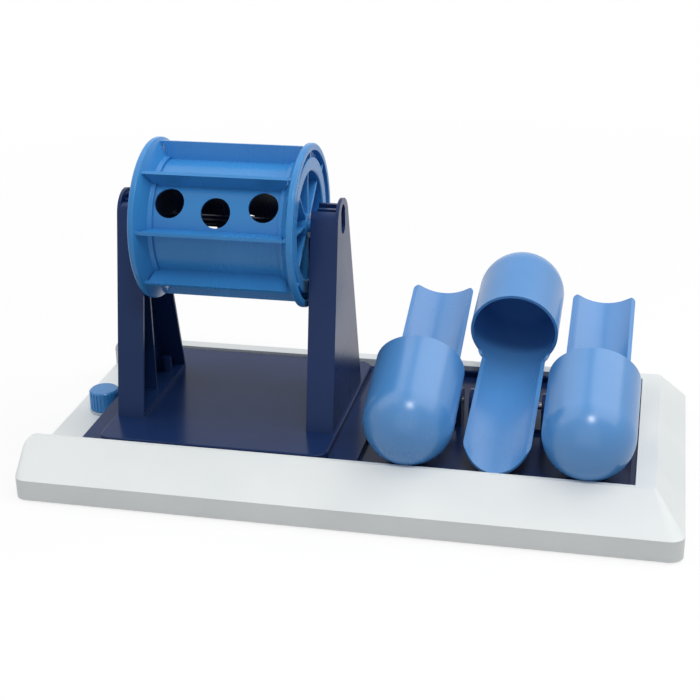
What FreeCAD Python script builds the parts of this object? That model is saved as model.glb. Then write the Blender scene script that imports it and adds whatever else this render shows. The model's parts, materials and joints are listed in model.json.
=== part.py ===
import FreeCAD, Part
import math
import os
import Sketcher

# Dog puzzle toy: an off-white tray carries two navy modules. The left module has a
# paddle drum that spins between two posts, the right module has three tipping tubes.
# Millimetres. X runs to the right, Y away from the front, Z up from the ground.

os.makedirs("parts", exist_ok=True)
doc = FreeCAD.newDocument("DogPuzzleToy")
vec = FreeCAD.Vector

# Every size of the toy, in millimetres and degrees
sheet = doc.addObject("Spreadsheet::Sheet", "Sizes")

size_table = {
    # tray
    "shelf_length": 36.5,
    "base_corner": 10.0,
    "foot_gap": 1.2,
    "wall_top": 16.3,
    "rim_top": 37.0,
    "front_slope": 30.5,
    "side_slope": 20.0,
    "rear_slope": 18.0,
    "front_flat": 3.0,
    "rear_flat": 10.0,
    "side_flat": 13.5,
    "base_wall": 2.5,
    "base_rib": 2.0,
    "rail_end_round": 8.0,
    "foot_radius": 8.0,
    "foot_thick": 3.0,
    # modules
    "deck_depth": 171.5,
    "deck_top": 31.0,
    "deck_wall": 2.2,
    "deck_rib": 1.8,
    "pad_top": 36.0,
    "pad_margin_left": 14.4,
    "pad_margin_right": 17.3,
    "pad_margin_front": 4.0,
    "pad_margin_rear": 2.5,
    "pad_corner": 9.0,
    "lip_top": 33.5,
    "lip_width": 3.2,
    "tube_floor": 29.4,
    # posts
    "post_margin": 2.8,
    "post_width": 19.6,
    "post_wall": 2.4,
    "front_reach": 45.8,
    "rear_reach": 51.2,
    "axle_shift": -0.95,
    "axle_height": 174.5,
    "ear_rise": 4.0,
    "ear_radius": 16.8,
    "cheek_drop": 5.4,
    "cheek_radius": 18.9,
    "window_rise": 10.5,
    "axle_radius": 4.5,
    # drum
    "wheel_radius": 57.6,
    "wheel_span": 116.1,
    "rim_width": 6.4,
    "rim_thick": 4.6,
    "dish_depth": 13.5,
    "sleeve_lip": 3.0,
    "eye_depth": 16.0,
    "eye_radius": 31.0,
    "hub_radius": 9.0,
    "spoke_thick": 2.0,
    "barrel_radius": 43.0,
    "barrel_wall": 2.0,
    "fin_inset": 2.0,
    "fin_thick": 2.4,
    "drum_phase": 6.4,
    "hole_radius": 10.5,
    "hole_margin": 0.65,
    "hole_shift": 3.6,
    # tubes
    "tube_radius": 31.5,
    "tube_wall": 2.0,
    "lug_drop": 7.5,
    "pivot_shift": 2.25,
    "cup_length": 50.0,
    "trough_angle": 47.0,
    "outer_dome": 58.0,
    "outer_tail": 102.0,
    "outer_tilt": 22.0,
    "middle_dome": 84.0,
    "tail_corner": 6.0,
    "mouth_fillet": 4.0,
    "lug_offset": 12.0,
    "lug_thick": 3.0,
    "lug_radius": 6.0,
    "pin_radius": 2.5,
    "cradle_inset": 5.5,
    "cradle_thick": 3.6,
    "cradle_radius": 9.0,
    "cradle_foot": 3.0,
    "cradle_fix": 17.0,
    # lock knob
    "knob_shift": 0.65,
    "knob_radius": 11.4,
    "knob_height": 15.6,
    "grip_depth": 0.6,
    "collar_radius": 12.0,
    "collar_thick": 2.0,
    "shaft_radius": 4.0,
    # fixings
    "screw_radius": 1.5,
    "screw_head": 3.0,
    "screw_length": 12.0,
    # clearances
    "running_play": 0.08,
    "seat_gap": 0.05,
    "screw_play": 0.3,
    "deck_play": 0.5,
    "deck_gap": 1.0,
    "wheel_gap": 2.8,
    "trough_gap": 6.26,
    "left_tube_gap": 5.4,
    "right_tube_gap": 0.3,
    "rest_gap": 0.53,
    "tongue_gap": 0.6,
    "tongue_rise": 1.0,
    "tab_gap": 0.35,
}


class Size:
    """A number that remembers the sheet expression it came from."""

    def __init__(self, value, text):
        self.value = float(value)
        self.text = text

    def _pair(self, other):
        if isinstance(other, Size):
            return other
        return Size(other, repr(float(other)))

    def __add__(self, other):
        other = self._pair(other)
        return Size(self.value + other.value, f"({self.text} + {other.text})")

    def __radd__(self, other):
        return self._pair(other) + self

    def __sub__(self, other):
        other = self._pair(other)
        return Size(self.value - other.value, f"({self.text} - {other.text})")

    def __rsub__(self, other):
        return self._pair(other) - self

    def __mul__(self, other):
        other = self._pair(other)
        return Size(self.value * other.value, f"({self.text} * {other.text})")

    def __rmul__(self, other):
        return self._pair(other) * self

    def __truediv__(self, other):
        other = self._pair(other)
        return Size(self.value / other.value, f"({self.text} / {other.text})")

    def __neg__(self):
        return Size(-self.value, f"(0 - {self.text})")


def num(item):
    return item.value if isinstance(item, Size) else float(item)


def sin_of(angle):
    return Size(math.sin(math.radians(num(angle))), f"sin({angle.text})")


def cos_of(angle):
    return Size(math.cos(math.radians(num(angle))), f"cos({angle.text})")


def root_of(item):
    return Size(math.sqrt(num(item)), f"sqrt({item.text})")


def atan_of(ratio):
    return Size(math.degrees(math.atan(num(ratio))), f"atan({ratio.text})")


class Sizes:
    pass


size = Sizes()
for row, (word, amount) in enumerate(size_table.items(), start=1):
    sheet.set(f"A{row}", word)
    sheet.set(f"B{row}", str(amount))
    sheet.setAlias(f"B{row}", word)
    setattr(size, word, Size(amount, f"Sizes.{word}"))
doc.recompute()

# Places along X: the modules and what they carry set the tray's length
wheel_half = size.wheel_span / 2
post_reach = wheel_half + size.wheel_gap + size.post_width
tube_pitch = size.tube_radius + size.tube_radius * sin_of(size.trough_angle) + size.trough_gap
drum_deck_width = (size.pad_margin_left + size.pad_margin_right
                   + (size.post_margin + post_reach) * 2)
tube_deck_width = (size.left_tube_gap + size.right_tube_gap
                   + (size.tube_radius + tube_pitch) * 2)
base_length = (size.shelf_length + drum_deck_width + size.deck_gap + tube_deck_width
               + size.deck_play + size.side_flat + size.side_slope)
half_length = base_length / 2
drum_deck_left = size.shelf_length - half_length
pad_left = drum_deck_left + size.pad_margin_left
drum_middle = pad_left + size.post_margin + post_reach
post_outer_left = drum_middle - post_reach
post_outer_right = drum_middle + post_reach
pad_right = post_outer_right + size.post_margin
drum_deck_right = pad_right + size.pad_margin_right
tube_deck_left = drum_deck_right + size.deck_gap
left_tube_at = tube_deck_left + size.left_tube_gap + size.tube_radius
middle_tube_at = left_tube_at + tube_pitch
right_tube_at = middle_tube_at + tube_pitch
tube_deck_right = right_tube_at + size.tube_radius + size.right_tube_gap
knob_at = drum_deck_left - size.collar_radius - size.deck_play

# Places along Y: the modules' depth sets the tray's depth
base_depth = (size.front_slope + size.front_flat + size.deck_depth + size.deck_play * 2
              + size.rear_flat + size.rear_slope)
half_depth = base_depth / 2
deck_front = size.front_slope + size.front_flat + size.deck_play - half_depth
deck_rear = deck_front + size.deck_depth
deck_middle = (deck_front + deck_rear) / 2
pad_front = deck_front + size.pad_margin_front
pad_rear = deck_rear - size.pad_margin_rear
axle_depth = deck_middle + size.axle_shift
post_front = axle_depth - size.front_reach
post_rear = axle_depth + size.rear_reach
pivot_depth = deck_middle + size.pivot_shift
knob_depth = deck_middle + size.knob_shift

# Heights: the outer tubes' domes rest on their deck and the middle tongue on the front lip
pivot_drop = size.tube_radius + size.lug_drop
pivot_height = (size.tube_floor + size.rest_gap + size.tube_radius
                + size.outer_dome * sin_of(size.outer_tilt)
                - pivot_drop * cos_of(size.outer_tilt))
tongue_reach = pivot_depth - deck_front - size.tongue_gap
tongue_drop = pivot_height - size.lip_top - size.tongue_rise
middle_tail = root_of(tongue_reach * tongue_reach + tongue_drop * tongue_drop
                      - size.lug_drop * size.lug_drop)
middle_tilt = atan_of(tongue_drop / tongue_reach) + atan_of(size.lug_drop / middle_tail)
deck_foot = size.wall_top + size.seat_gap
post_foot = size.pad_top + size.seat_gap
knob_foot = size.wall_top + size.seat_gap + size.collar_thick + size.tab_gap
knob_top = knob_foot + size.knob_height


# Helpers
def bind(item, path, amount):
    if isinstance(amount, Size):
        item.setExpression(path, amount.text)


def new_body(name):
    return doc.addObject("PartDesign::Body", name)


def plane_of(body, role):
    return [feature for feature in body.Origin.OriginFeatures if feature.Role == role][0]


def new_sketch(body, name, role, offset=0.0):
    sketch = body.newObject("Sketcher::SketchObject", name)
    sketch.AttachmentSupport = [(plane_of(body, role), "")]
    sketch.MapMode = "FlatFace"
    sketch.AttachmentOffset = FreeCAD.Placement(vec(0, 0, num(offset)), FreeCAD.Rotation())
    bind(sketch, "AttachmentOffset.Base.z", offset)
    return sketch


def fix(sketch, kind, geometry, point, amount):
    index = sketch.addConstraint(
        Sketcher.Constraint(kind, -1, 1, geometry, point, num(amount)))
    if isinstance(amount, Size):
        sketch.setExpression(f"Constraints[{index}]", amount.text)


def arc_centre(start, end, radius, left):
    mid = (start + end) * 0.5
    half = (end - start).Length / 2.0
    reach = math.sqrt(max(radius * radius - half * half, 0.0))
    along = (end - start).normalize()
    side = vec(-along.y, along.x, 0)
    return mid + side * (reach if left else -reach)


def add_loop(sketch, corners):
    """Closed outline. A corner is (x, y) or (x, y, radius, left): the side that leaves
    it is then an arc of that radius with its centre to the left or the right."""
    points = [vec(num(corner[0]), num(corner[1]), 0) for corner in corners]
    count = len(corners)
    first = sketch.GeometryCount
    for index, corner in enumerate(corners):
        start = points[index]
        end = points[(index + 1) % count]
        if len(corner) == 2:
            sketch.addGeometry(Part.LineSegment(start, end), False)
            continue
        radius = num(corner[2])
        centre = arc_centre(start, end, radius, corner[3])
        begin = math.atan2(start.y - centre.y, start.x - centre.x)
        finish = math.atan2(end.y - centre.y, end.x - centre.x)
        if not corner[3]:
            begin, finish = finish, begin
        circle = Part.Circle(centre, vec(0, 0, 1), radius)
        sketch.addGeometry(Part.ArcOfCircle(circle, begin, finish), False)
    for index, corner in enumerate(corners):
        follow = (index + 1) % count
        here = first + index
        there = first + follow
        tail = 1 if len(corner) == 4 and not corner[3] else 2
        head = 2 if len(corners[follow]) == 4 and not corners[follow][3] else 1
        sketch.addConstraint(Sketcher.Constraint("Coincident", here, tail, there, head))
    for index, corner in enumerate(corners):
        here = first + index
        head = 2 if len(corner) == 4 and not corner[3] else 1
        fix(sketch, "DistanceX", here, head, corner[0])
        fix(sketch, "DistanceY", here, head, corner[1])
        if len(corner) == 4:
            added = sketch.addConstraint(
                Sketcher.Constraint("Radius", here, num(corner[2])))
            if isinstance(corner[2], Size):
                sketch.setExpression(f"Constraints[{added}]", corner[2].text)


def add_circle(sketch, x, y, radius):
    index = sketch.addGeometry(
        Part.Circle(vec(num(x), num(y), 0), vec(0, 0, 1), num(radius)), False)
    fix(sketch, "DistanceX", index, 3, x)
    fix(sketch, "DistanceY", index, 3, y)
    added = sketch.addConstraint(Sketcher.Constraint("Radius", index, num(radius)))
    if isinstance(radius, Size):
        sketch.setExpression(f"Constraints[{added}]", radius.text)


def box_loop(x0, y0, x1, y1):
    return [(x0, y0), (x1, y0), (x1, y1), (x0, y1)]


def round_loop(x0, y0, x1, y1, radius):
    return [
        (x0 + radius, y0), (x1 - radius, y0, radius, True),
        (x1, y0 + radius), (x1, y1 - radius, radius, True),
        (x1 - radius, y1), (x0 + radius, y1, radius, True),
        (x0, y1 - radius), (x0, y0 + radius, radius, True),
    ]


def pad(body, sketch, length, name, both=False, back=False):
    feature = body.newObject("PartDesign::Pad", name)
    feature.Profile = sketch
    feature.Length = num(length)
    bind(feature, "Length", length)
    if both:
        feature.SideType = "Symmetric"
    feature.Reversed = back
    return feature


def pocket(body, sketch, length, name, both=False, back=False):
    feature = body.newObject("PartDesign::Pocket", name)
    feature.Profile = sketch
    feature.Length = num(length)
    bind(feature, "Length", length)
    if both:
        feature.SideType = "Symmetric"
    feature.Reversed = back
    return feature


def loft(body, lower, upper, name, cut=False):
    kind = "PartDesign::SubtractiveLoft" if cut else "PartDesign::AdditiveLoft"
    feature = body.newObject(kind, name)
    feature.Profile = lower
    feature.Sections = [upper]
    feature.Ruled = True
    return feature


def revolve(body, sketch, name, cut=False, axis="V_Axis"):
    kind = "PartDesign::Groove" if cut else "PartDesign::Revolution"
    feature = body.newObject(kind, name)
    feature.Profile = sketch
    feature.ReferenceAxis = (sketch, [axis])
    feature.Angle = 360.0
    return feature


def repeat(body, features, count, name, role="Z_Axis"):
    feature = body.newObject("PartDesign::PolarPattern", name)
    feature.Originals = features
    feature.Axis = (plane_of(body, role), [""])
    feature.Angle = 360.0
    feature.Occurrences = count
    body.Tip = feature
    return feature


def edges_where(shape, test):
    names = []
    for index, edge in enumerate(shape.Edges, start=1):
        if test(edge):
            names.append(f"Edge{index}")
    return names


def soften(body, radius, name, test, kind="PartDesign::Fillet"):
    doc.recompute()
    base = body.Tip
    names = edges_where(base.Shape, test)
    if not names:
        raise ValueError(f"{name}: no edges found")
    feature = body.newObject(kind, name)
    feature.Base = (base, names)
    prop = "Radius" if kind == "PartDesign::Fillet" else "Size"
    setattr(feature, prop, num(radius))
    bind(feature, prop, radius)
    return feature


nodes = {}


def keep(node, item):
    item.Label = node
    nodes[node] = item


def cylinder(name, radius, height, x, y, z, direction=(0, 0, 1)):
    item = doc.addObject("Part::Cylinder", name)
    item.Radius = num(radius)
    item.Height = num(height)
    bind(item, "Radius", radius)
    bind(item, "Height", height)
    turn = FreeCAD.Rotation(vec(0, 0, 1), vec(*direction))
    item.Placement = FreeCAD.Placement(vec(num(x), num(y), num(z)), turn)
    for axis, amount in (("x", x), ("y", y), ("z", z)):
        bind(item, f"Placement.Base.{axis}", amount)
    return item


def join(name, items):
    item = doc.addObject("Part::MultiFuse", name)
    item.Shapes = items
    return item


def group(name, items):
    item = doc.addObject("Part::Compound", name)
    item.Links = items
    return item


def cut_away(name, base, tool):
    item = doc.addObject("Part::Cut", name)
    item.Base = base
    item.Tool = tool
    return item


# The tray: a shallow box with raised rails on three sides, open at the left
tray_front = deck_front - size.deck_play
tray_rear = deck_rear + size.deck_play
tray_right = tube_deck_right + size.deck_play
base = new_body("BaseFrame")
outline = new_sketch(base, "BaseOutline", "XY_Plane", size.foot_gap)
add_loop(outline, round_loop(-half_length, -half_depth, half_length, half_depth,
                             size.base_corner))
pad(base, outline, size.wall_top - size.foot_gap, "BaseSlab")

rim_foot = new_sketch(base, "RimFoot", "XY_Plane", size.wall_top)
add_loop(rim_foot, round_loop(-half_length, -half_depth, half_length, half_depth,
                              size.base_corner))
rim_crest = new_sketch(base, "RimCrest", "XY_Plane", size.rim_top)
crest_round = size.base_corner / 5
add_loop(rim_crest, round_loop(-half_length, size.front_slope - half_depth,
                               half_length - size.side_slope,
                               half_depth - size.rear_slope, crest_round))
loft(base, rim_foot, rim_crest, "RimSlopes")

tray = new_sketch(base, "TrayOutline", "XY_Plane", size.rim_top + 1)
add_loop(tray, box_loop(-half_length - 20, tray_front, tray_right, tray_rear))
pocket(base, tray, size.rim_top + 1 - size.wall_top, "TrayPocket")

# the left ends of both rails are rounded over
bend = size.rail_end_round
rail_end = new_sketch(base, "RailEnd", "XZ_Plane")
add_loop(rail_end, [
    (-half_length - 2, size.rim_top - bend), (-half_length, size.rim_top - bend, bend, False),
    (bend - half_length, size.rim_top), (bend - half_length, size.rim_top + 2),
    (-half_length - 2, size.rim_top + 2)])
pocket(base, rail_end, base_depth + 20, "RailEndCut", both=True)

base_wall = size.base_wall
under = size.wall_top - base_wall
hollow = new_sketch(base, "UnderHollow", "XY_Plane", size.foot_gap)
add_loop(hollow, round_loop(base_wall - half_length, base_wall - half_depth,
                            half_length - base_wall, half_depth - base_wall,
                            size.base_corner - base_wall))
pocket(base, hollow, under - size.foot_gap, "UnderHollowCut", back=True)


def rail_hollow(name, lower, upper, crest):
    foot = new_sketch(base, f"{name}Foot", "XY_Plane", under - 0.5)
    add_loop(foot, box_loop(*lower))
    head = new_sketch(base, f"{name}Head", "XY_Plane", crest)
    add_loop(head, box_loop(*upper))
    loft(base, foot, head, f"{name}Cut", cut=True)


rail_hollow(
    "FrontRail",
    (base_wall - half_length, base_wall - half_depth,
     half_length - base_wall - 1, tray_front - base_wall),
    (base_wall - half_length + 4, size.front_slope * 0.86 - half_depth,
     half_length - size.side_slope - 4, tray_front - base_wall),
    size.rim_top - 6)
rail_hollow(
    "RearRail",
    (base_wall - half_length, tray_rear + base_wall,
     half_length - base_wall - 1, half_depth - base_wall),
    (base_wall - half_length + 4, tray_rear + base_wall,
     half_length - size.side_slope - 4, half_depth - size.rear_slope - 3),
    size.rim_top - 4)
rail_hollow(
    "RightRail",
    (tray_right + base_wall, tray_front - 2, half_length - base_wall, tray_rear + 2),
    (tray_right + base_wall, tray_front - 2,
     half_length - size.side_slope - 3, tray_rear + 2),
    size.rim_top - 4)

# stiffening ribs under the floor
rib = size.base_rib
cross_ribs = new_sketch(base, "CrossRibs", "XY_Plane", size.foot_gap + 2)
for share in (-0.36, -0.18, 0.0, 0.18, 0.36):
    spot = base_length * share
    add_loop(cross_ribs, box_loop(spot - rib / 2, 1 - half_depth + base_wall / 2,
                                  spot + rib / 2, half_depth - base_wall / 2 - 1))
pad(base, cross_ribs, under - size.foot_gap - 1, "CrossRibPads")
long_ribs = new_sketch(base, "LongRibs", "XY_Plane", size.foot_gap + 2)
for share in (-0.2, 0.2):
    spot = base_depth * share
    add_loop(long_ribs, box_loop(1 - half_length + base_wall / 2, spot - rib / 2,
                                 half_length - base_wall / 2 - 1, spot + rib / 2))
pad(base, long_ribs, under - size.foot_gap - 1, "LongRibPads")

# round bosses that hold the rubber feet, and the boss below the lock knob
foot_spots = []
for along in (-0.43, 0.0, 0.43):
    for across in (-0.38, 0.38):
        foot_spots.append((base_length * along, base_depth * across))
bosses = new_sketch(base, "FootBosses", "XY_Plane", size.foot_gap)
for spot_x, spot_y in foot_spots:
    add_circle(bosses, spot_x, spot_y, size.foot_radius + 2)
pad(base, bosses, under - size.foot_gap + 0.5, "FootBossPads")
sockets = new_sketch(base, "FootSockets", "XY_Plane", size.foot_gap)
for spot_x, spot_y in foot_spots:
    add_circle(sockets, spot_x, spot_y, size.foot_radius)
pocket(base, sockets, size.foot_thick - size.foot_gap, "FootSocketCuts", back=True)
knob_boss = new_sketch(base, "KnobBoss", "XY_Plane", under - 5)
add_circle(knob_boss, knob_at, knob_depth, size.shaft_radius + 3.5)
pad(base, knob_boss, 5.5, "KnobBossPad")
knob_hole = new_sketch(base, "KnobHole", "XY_Plane", size.wall_top + 1)
add_circle(knob_hole, knob_at, knob_depth, size.shaft_radius + size.running_play)
pocket(base, knob_hole, size.wall_top, "KnobHoleCut")
keep("base_frame", base)

feet = []
for index, (spot_x, spot_y) in enumerate(foot_spots):
    feet.append(cylinder(f"Foot{index}", size.foot_radius - 0.1, size.foot_thick,
                         spot_x, spot_y, 0))
keep("rubber_feet", group("RubberFeet", feet))


# The drum module: a hollow cover with a raised pad
deck_wall = size.deck_wall
deck = new_body("DrumDeck")
skirt = new_sketch(deck, "DrumDeckOutline", "XY_Plane", deck_foot)
add_loop(skirt, round_loop(drum_deck_left, deck_front, drum_deck_right, deck_rear,
                           size.pad_corner / 6))
pad(deck, skirt, size.deck_top - deck_foot, "DrumDeckBlock")
raised = new_sketch(deck, "PadOutline", "XY_Plane", size.deck_top - 0.5)
add_loop(raised, round_loop(pad_left, pad_front, pad_right, pad_rear,
                            size.pad_corner))
pad(deck, raised, size.pad_top - size.deck_top + 0.5, "RaisedPad")
soften(deck, 1.2, "PadEdge", lambda edge: edge.BoundBox.ZMin > num(size.pad_top) - 0.01)
inner = new_sketch(deck, "DrumDeckHollow", "XY_Plane", deck_foot)
add_loop(inner, box_loop(drum_deck_left + deck_wall, deck_front + deck_wall,
                         drum_deck_right - deck_wall, deck_rear - deck_wall))
pocket(deck, inner, size.deck_top - deck_foot - deck_wall, "DrumDeckHollowCut", back=True)
pad_inner = new_sketch(deck, "PadHollow", "XY_Plane", size.deck_top - deck_wall - 0.5)
add_loop(pad_inner, round_loop(pad_left + deck_wall, pad_front + deck_wall,
                               pad_right - deck_wall, pad_rear - deck_wall,
                               size.pad_corner - deck_wall))
pocket(deck, pad_inner, size.pad_top - size.deck_top + 0.5, "PadHollowCut", back=True)
deck_ribs = new_sketch(deck, "DrumDeckRibs", "XY_Plane", deck_foot + 3)
for share in (0.3, 0.5, 0.7):
    spot = drum_deck_left + (drum_deck_right - drum_deck_left) * share
    add_loop(deck_ribs, box_loop(spot - size.deck_rib / 2, deck_front + 1,
                                spot + size.deck_rib / 2, deck_rear - 1))
pad(deck, deck_ribs, size.deck_top - deck_foot - 4, "DrumDeckRibPads")

# screw holes for the posts
post_fix_y = [post_front + 16, post_rear - 16]
post_fix_x = [post_outer_left + size.post_width / 2,
              post_outer_right - size.post_width / 2]
deck_holes = new_sketch(deck, "PostScrewHoles", "XY_Plane", size.pad_top + 1)
for spot_x in post_fix_x:
    for spot_y in post_fix_y:
        add_circle(deck_holes, spot_x, spot_y, size.screw_radius + size.screw_play)
pocket(deck, deck_holes, 8, "PostScrewHoleCuts")
# the slot in the left skirt that the lock tab turns into
tab_slot = new_sketch(deck, "TabSlot", "YZ_Plane", drum_deck_left - 3)
add_loop(tab_slot, box_loop(knob_depth - 6.5, size.wall_top - 1,
                            knob_depth + 13.5, knob_foot + 3))
pocket(deck, tab_slot, 10, "TabSlotCut", back=True)
keep("drum_deck", deck)


# The tube module: a hollow tray with a thin lip round its well
tubes_deck = new_body("TubeDeck")
block = new_sketch(tubes_deck, "TubeDeckOutline", "XY_Plane", deck_foot)
add_loop(block, round_loop(tube_deck_left, deck_front, tube_deck_right, deck_rear,
                           size.pad_corner / 6))
pad(tubes_deck, block, size.lip_top - deck_foot, "TubeDeckBlock")
lip = size.lip_width
well = new_sketch(tubes_deck, "TubeWell", "XY_Plane", size.lip_top + 1)
add_loop(well, round_loop(tube_deck_left + lip, deck_front + lip, tube_deck_right - lip,
                          deck_rear - lip, size.pad_corner / 3))
pocket(tubes_deck, well, size.lip_top + 1 - size.tube_floor, "TubeWellCut")
belly = new_sketch(tubes_deck, "TubeDeckHollow", "XY_Plane", deck_foot)
add_loop(belly, box_loop(tube_deck_left + deck_wall, deck_front + deck_wall,
                         tube_deck_right - deck_wall, deck_rear - deck_wall))
pocket(tubes_deck, belly, size.tube_floor - deck_foot - deck_wall, "TubeDeckHollowCut",
       back=True)
belly_ribs = new_sketch(tubes_deck, "TubeDeckRibs", "XY_Plane", deck_foot + 3)
for share in (0.34, 0.66):
    spot = tube_deck_left + (tube_deck_right - tube_deck_left) * share
    add_loop(belly_ribs, box_loop(spot - size.deck_rib / 2, deck_front + 1,
                                spot + size.deck_rib / 2, deck_rear - 1))
pad(tubes_deck, belly_ribs, size.tube_floor - deck_foot - 4, "TubeDeckRibPads")
tube_spots = {
    "left": left_tube_at,
    "middle": middle_tube_at,
    "right": right_tube_at,
}
cradle_holes = new_sketch(tubes_deck, "CradleScrewHoles", "XY_Plane", size.tube_floor + 1)
for spot in tube_spots.values():
    for side in (-1, 1):
        add_circle(cradle_holes, spot + size.cradle_fix * side, pivot_depth, size.screw_radius + size.screw_play)
pocket(tubes_deck, cradle_holes, 6, "CradleScrewHoleCuts")
keep("tube_deck", tubes_deck)


# The posts: A-shaped channels, open towards the drum
def tangent_foot(foot_y, foot_z, centre_y, centre_z, radius, front):
    """Where the line from the foot touches the circle round the post's head."""
    reach_y = centre_y - foot_y
    reach_z = centre_z - foot_z
    square = reach_y * reach_y + reach_z * reach_z
    length = root_of(square - radius * radius)
    if front:
        cross_y = (length * reach_y - radius * reach_z) * length / square
        cross_z = (length * reach_z + radius * reach_y) * length / square
    else:
        cross_y = (length * reach_y + radius * reach_z) * length / square
        cross_z = (length * reach_z - radius * reach_y) * length / square
    return foot_y + cross_y, foot_z + cross_z


def post_outline(front, rear, foot, centre_z, radius):
    centre_y = axle_depth
    rear_y, rear_z = tangent_foot(rear, foot, centre_y, centre_z, radius, False)
    front_y, front_z = tangent_foot(front, foot, centre_y, centre_z, radius, True)
    top = centre_z + radius
    return [(front, foot), (rear, foot), (rear_y, rear_z, radius, True),
            (centre_y, top, radius, True), (front_y, front_z)]


def leg_point(start_y, start_z, centre_z, front, share):
    """A point part of the way up the post's front or rear edge."""
    end_y, end_z = tangent_foot(start_y, start_z, axle_depth, centre_z,
                                size.cheek_radius - size.post_wall / 2, front)
    return start_y + (end_y - start_y) * share, start_z + (end_z - start_z) * share


def build_post(name, label, outer, away):
    """The post is a channel that opens towards the drum. away is +1 when its closed
    side faces +X and -1 when it faces -X."""
    body = new_body(name)
    wall = size.post_wall
    width = size.post_width
    closed = away > 0
    foot = post_foot
    cheek_height = size.axle_height - size.cheek_drop
    ear_height = size.axle_height + size.ear_rise
    window_top = size.axle_height + size.window_rise
    open_side = outer - width if closed else outer + width
    shell = new_sketch(body, f"{name}Channel", "YZ_Plane", open_side)
    add_loop(shell, post_outline(post_front, post_rear, foot,
                                 cheek_height, size.cheek_radius))
    pad(body, shell, width - 0.2, f"{name}ChannelPad", back=not closed)
    room = new_sketch(body, f"{name}Room", "YZ_Plane", open_side)
    add_loop(room, post_outline(post_front + wall * 1.03, post_rear - wall * 1.05,
                                foot + wall, cheek_height, size.cheek_radius - wall))
    pocket(body, room, width - wall, f"{name}RoomCut", back=closed)
    ear = new_sketch(body, f"{name}Ear", "YZ_Plane", outer)
    add_loop(ear, post_outline(post_front, post_rear, foot,
                               ear_height, size.ear_radius))
    pad(body, ear, wall, f"{name}EarPad", back=closed)

    # seat ribs carry the axle, ribs stiffen the closed side
    for index, share in enumerate((1.2, 7.5)):
        inset = open_side + share if closed else open_side - share
        seat = new_sketch(body, f"{name}Seat{index}", "YZ_Plane", inset)
        add_loop(seat, box_loop(axle_depth - 15.6, size.axle_height - 14,
                                axle_depth + 15.6, size.axle_height + 4.5))
        pad(body, seat, wall, f"{name}SeatPad{index}", back=not closed)
    spine = new_sketch(body, f"{name}Spine", "YZ_Plane", outer)
    add_loop(spine, box_loop(axle_depth - 1.1, foot + 1, axle_depth + 1.1,
                             size.axle_height - 13))
    pad(body, spine, width - 5.5, f"{name}SpinePad", back=closed)
    brace = new_sketch(body, f"{name}Brace", "YZ_Plane", outer)
    front_y, front_z = leg_point(post_front + wall / 2, foot, cheek_height, True, 0.45)
    rear_y, rear_z = leg_point(post_rear - wall / 2, foot, cheek_height, False, 0.75)
    add_loop(brace, [(front_y, front_z - wall), (rear_y, rear_z - wall),
                     (rear_y, rear_z), (front_y, front_z)])
    pad(body, brace, width - 8.5, f"{name}BracePad", back=closed)

    # open slot in the head for the axle, and the window in the ear
    notch = new_sketch(body, f"{name}Notch", "YZ_Plane", open_side)
    play = size.axle_radius + size.running_play
    add_loop(notch, [(axle_depth - play, size.axle_height, play, True),
                     (axle_depth, size.axle_height - play, play, True),
                     (axle_depth + play, size.axle_height),
                     (axle_depth + play, ear_height + 30),
                     (axle_depth - play, ear_height + 30)])
    pocket(body, notch, width - wall * 1.6, f"{name}NotchCut", back=closed)
    window = new_sketch(body, f"{name}Window", "YZ_Plane", open_side)
    add_loop(window, [(axle_depth - play, size.axle_height, play, True),
                      (axle_depth, size.axle_height - play, play, True),
                      (axle_depth + play, size.axle_height),
                      (axle_depth + play, window_top, play, True),
                      (axle_depth, window_top + play, play, True),
                      (axle_depth - play, window_top)])
    pocket(body, window, width + 5, f"{name}WindowCut", back=closed)

    # screw bosses inside the foot
    pillars = new_sketch(body, f"{name}Bosses", "XY_Plane", foot + 0.5)
    middle = outer - width / 2 if closed else outer + width / 2
    for spot in post_fix_y:
        add_circle(pillars, middle, spot, 4.0)
    pad(body, pillars, 13, f"{name}BossPads")
    bores = new_sketch(body, f"{name}Bores", "XY_Plane", foot)
    for spot in post_fix_y:
        add_circle(bores, middle, spot, size.screw_radius)
    pocket(body, bores, 12, f"{name}BoreCuts", back=True)
    keep(label, body)


build_post("LeftPost", "left_post", post_outer_left, -1)
build_post("RightPost", "right_post", post_outer_right, 1)


def screw(name, x, y, z, length):
    """Pan-head screw driven upwards, head below z."""
    shank = cylinder(f"{name}Shank", size.screw_radius, length, x, y, z)
    head = cylinder(f"{name}Head", size.screw_head, 2.0, x, y, z - 2)
    return join(name, [shank, head])


post_screws = []
for row, spot_x in enumerate(post_fix_x):
    for col, spot_y in enumerate(post_fix_y):
        post_screws.append(screw(f"PostScrew{row}{col}", spot_x, spot_y,
                                 size.pad_top - deck_wall, size.screw_length))
keep("post_screws", group("PostScrews", post_screws))


# The drum: a finned barrel between two dished wheels, on a round axle
sheet_thick = size.barrel_wall
sleeve = size.barrel_radius + size.seat_gap * 2
fin_radius = size.wheel_radius - size.fin_inset
cone_depth = size.dish_depth - size.sleeve_lip
ring_depth = 1.2


def place_drum_piece(body, x, quarter):
    """Local Z is laid along X."""
    body.Placement = FreeCAD.Placement(
        vec(num(x), num(axle_depth), num(size.axle_height)),
        FreeCAD.Rotation(vec(0, 1, 0), 90.0 * quarter))
    bind(body, "Placement.Base.x", x)
    bind(body, "Placement.Base.y", axle_depth)
    bind(body, "Placement.Base.z", size.axle_height)


def swing_sketch(sketch, angle):
    """Turns the sketch round its own upright axis."""
    sketch.AttachmentOffset = FreeCAD.Placement(
        vec(0, 0, 0), FreeCAD.Rotation(vec(0, 1, 0), num(angle)))
    bind(sketch, "AttachmentOffset.Rotation.Angle", angle)


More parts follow.
